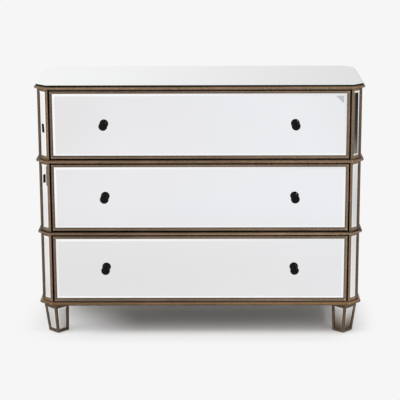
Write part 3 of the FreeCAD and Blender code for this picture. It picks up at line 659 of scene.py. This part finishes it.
def add_pan_head(mesh, centre, outward):
    """Add a domed head with a cross recess to a bmesh. centre is the middle of its flat underside."""
    turn = Vector(outward).to_track_quat("Z", "Y")
    rings = []
    for number, reach in enumerate(HEAD_RINGS, start=1):
        ring = []
        for step in range(HEAD_SEGMENTS):
            angle = math.tau * step / HEAD_SEGMENTS
            height = 0.0 if number == len(HEAD_RINGS) else head_height(reach, angle)
            across = reach * HEAD_RADIUS
            place = Vector((math.cos(angle) * across, math.sin(angle) * across, height))
            ring.append(mesh.verts.new(centre + turn @ place))
        rings.append(ring)
    mesh.faces.new(rings[0])
    for inner, outer in zip(rings, rings[1:]):
        for step in range(HEAD_SEGMENTS):
            after = (step + 1) % HEAD_SEGMENTS
            mesh.faces.new((inner[step], outer[step], outer[after], inner[after]))
    mesh.faces.new(list(reversed(rings[-1])))


def make_screws(name, body, heads):
    """One object of pan-head screws. heads is a list of places and the ways that they face."""
    shape = bmesh.new()
    for centre, outward in heads:
        add_pan_head(shape, Vector(centre), outward)
    mesh = bpy.data.meshes.new(name)
    shape.to_mesh(mesh)
    shape.free()
    mesh.materials.append(MATERIALS["screw_steel"])
    screws = bpy.data.objects.new(name, mesh)
    bpy.context.collection.objects.link(screws)
    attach(screws, body)


def make_back_screws():
    """Two rows in the back panel, into the rear edges of the dividers."""
    heads = []
    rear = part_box("back_panel")[1].y
    for divider in ("lower_divider", "upper_divider"):
        low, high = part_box(divider)
        for across in BACK_SCREW_PLACES:
            heads.append(((across, rear, (low.z + high.z) / 2), (0, 1, 0)))
    make_screws("back_panel_screws", "case", heads)


def make_slide_screws():
    """Three in each drawer member, in the bottom of its channel, into the drawer's side."""
    for tier in TIERS:
        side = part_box(f"{tier}_drawer_sides")[1].x + SLIDE_WALL
        low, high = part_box(f"{tier}_slide_drawer_members")
        heads = []
        for back in SLIDE_SCREW_PLACES:
            for way in (-1, 1):
                heads.append(((way * side, low.y + back, (low.z + high.z) / 2), (way, 0, 0)))
        make_screws(f"{tier}_slide_screws", f"{tier}_drawer", heads)


# ================================================================ stage
def flat_mesh(name, corners, material):
    mesh = bpy.data.meshes.new(name)
    mesh.from_pydata(corners, [], [tuple(range(len(corners)))])
    mesh.materials.append(material)
    obj = bpy.data.objects.new(name, mesh)
    bpy.context.collection.objects.link(obj)
    return obj


def seen_rays(tree):
    """Is this a camera ray, and is it one that a mirror shows? Rays that only carry light are neither."""
    path = tree.add("ShaderNodeLightPath").outputs
    mirrored = tree.math("MAXIMUM", path["Is Glossy Ray"], path["Is Transmission Ray"])
    mirrored = tree.math("MULTIPLY", mirrored, tree.math("LESS_THAN", path["Diffuse Depth"], 0.5))
    return path["Is Camera Ray"], mirrored


def mirrored_paper(tree, x, y):
    """Painted light and shade on the paper as the mirrors see it, which varies with its place ahead of the
    chest and aside.
    """
    ahead = tree.ramp(tree.math("MULTIPLY", y, -1 / PAPER_REACH), AHEAD_TONES)
    aside = tree.math("MULTIPLY", tree.math("ABSOLUTE", x), 1 / PAPER_REACH)
    on_left = tree.math("LESS_THAN", x, 0.0)
    sides = tree.blend(on_left, tree.ramp(aside, RIGHT_TONES), tree.ramp(aside, LEFT_TONES))
    hue = tree.blend(tree.between(x, *HUE_SPAN), LEFT_HUE, RIGHT_HUE)
    close_hue = tree.blend(tree.between(y, *CLOSE_SPAN), WHITE, CLOSE_HUE)
    return tree.tinted(tree.tinted(ahead, sides), tree.tinted(hue, close_hue))


def make_floor():
    """Pale paper. It takes the chest's shadow near its foot and shows its plain tone farther out."""
    material = bpy.data.materials.new("floor_paper")
    tree = Tree(material)
    place = tree.add("ShaderNodeNewGeometry").outputs["Position"]
    x, y, _ = tree.split(place)
    camera_ray, mirrored = seen_rays(tree)

    # painted shadow: the plain tone darkens under a drawer that stands open
    under_drawer = tree.between(tree.openness(DRAWER_REACH, samples=8), *DRAWER_SHADE)
    under_drawer = tree.math("MAXIMUM", under_drawer, tree.between(y, *DRAWER_STOP))
    plain_tone = tree.blend(under_drawer, BLACK, WHITE)
    tone = tree.blend(camera_ray, mirrored_paper(tree, x, y), plain_tone)
    plain = tree.add("ShaderNodeEmission", {"Color": tone, "Strength": BACKGROUND})
    paper = tree.add("ShaderNodeBsdfDiffuse", {"Color": grey(BACKGROUND)})

    # how far the place is outside the core of the shadow, and where painted light clears the shadow's left
    # end
    from_middle = tree.vector("ABSOLUTE", tree.vector("SUBTRACT", place, SHADOW_MIDDLE))
    outside = tree.vector("MAXIMUM", tree.vector("SUBTRACT", from_middle, SHADOW_CORE))
    distance = tree.add("ShaderNodeVectorMath", {0: outside}, operation="LENGTH").outputs["Value"]
    left_end = tree.math("MULTIPLY", tree.between(x, *LEFT_END_ASIDE), tree.between(y, *LEFT_END_AHEAD))
    clear = tree.math("MAXIMUM", tree.between(distance, *SHADOW_FADE), left_end)

    to_camera = tree.math("MULTIPLY", camera_ray, clear)
    to_mirror = tree.math("MULTIPLY", mirrored, tree.between(distance, *MIRRORED_FADE))
    shown = tree.math("MAXIMUM", to_camera, to_mirror)
    tree.finish(tree.add("ShaderNodeMixShader", {0: shown, 1: paper.outputs[0], 2: plain.outputs[0]}))
    half = FLOOR_SIZE / 2
    flat_mesh("floor", [(-half, -half, 0), (half, -half, 0), (half, half, 0), (-half, half, 0)], material)


def make_card(name, corners, tones, hue):
    """A glowing card that stands away from the chest and shows only in the mirrors, as a painted
    reflection.
    """
    material = bpy.data.materials.new(name)
    tree = Tree(material)
    _, _, z = tree.split(tree.place())
    heights = [corner[2] for corner in corners]
    tone = tree.between(z, min(heights), max(heights), *tones)
    tree.finish(tree.add("ShaderNodeEmission", {"Color": hue, "Strength": tone}))
    card = flat_mesh(name, corners, material)
    card.visible_camera = False
    card.visible_diffuse = False
    card.visible_shadow = False


def make_sky():
    """Pale sky: at its full value where it is seen or mirrored, and lower where it only lights."""
    world = bpy.data.worlds.new("studio")
    bpy.context.scene.world = world
    tree = Tree(world)
    camera_ray, mirrored = seen_rays(tree)
    x, _, _ = tree.split(tree.add("ShaderNodeTexCoord").outputs["Generated"])
    dimmer = tree.between(x, *SKY_SPAN, SKY_SEEN, SKY_SEEN * SKY_RIGHT)
    value = tree.between(mirrored, 0.0, 1.0, SKY_LIGHT, dimmer)
    value = tree.between(camera_ray, 0.0, 1.0, value, BACKGROUND)
    shade = tree.add("ShaderNodeBackground", {"Color": WHITE, "Strength": value})
    out = tree.add("ShaderNodeOutputWorld")
    tree.links.new(shade.outputs[0], out.inputs["Surface"])


def make_lamps():
    """Suns, of which only the one that sparks on the knobs shows in mirrors and gloss."""
    for name, light, spread, height, bearing in LAMPS:
        lamp = bpy.data.lights.new(name, "SUN")
        lamp.energy = light * math.pi / math.sin(height)
        lamp.angle = spread
        sun = bpy.data.objects.new(name, lamp)
        towards = Vector((math.cos(bearing) * math.cos(height),
                          math.sin(bearing) * math.cos(height), math.sin(height)))
        sun.rotation_euler = towards.to_track_quat("Z", "Y").to_euler()
        sun.visible_glossy = name == "spark"
        bpy.context.collection.objects.link(sun)


def make_camera():
    data = bpy.data.cameras.new("camera")
    data.lens = LENS
    data.sensor_width = SENSOR
    data.clip_end = VIEW_DISTANCE
    camera = bpy.data.objects.new("camera", data)
    turn = Matrix.Rotation(CAMERA_TURN, 4, "Z") @ Matrix.Rotation(math.pi / 2 - CAMERA_DIP, 4, "X")
    camera.matrix_world = Matrix.Translation(CAMERA_PLACE) @ turn @ Matrix.Rotation(CAMERA_ROLL, 4, "Z")
    bpy.context.collection.objects.link(camera)
    bpy.context.scene.camera = camera


make_camera()
make_floor()
for card in CARDS:
    make_card(*card)
make_sky()
make_lamps()
dress_nodes()
make_back_screws()
make_slide_screws()
bpy.context.scene.view_settings.view_transform = "Standard"
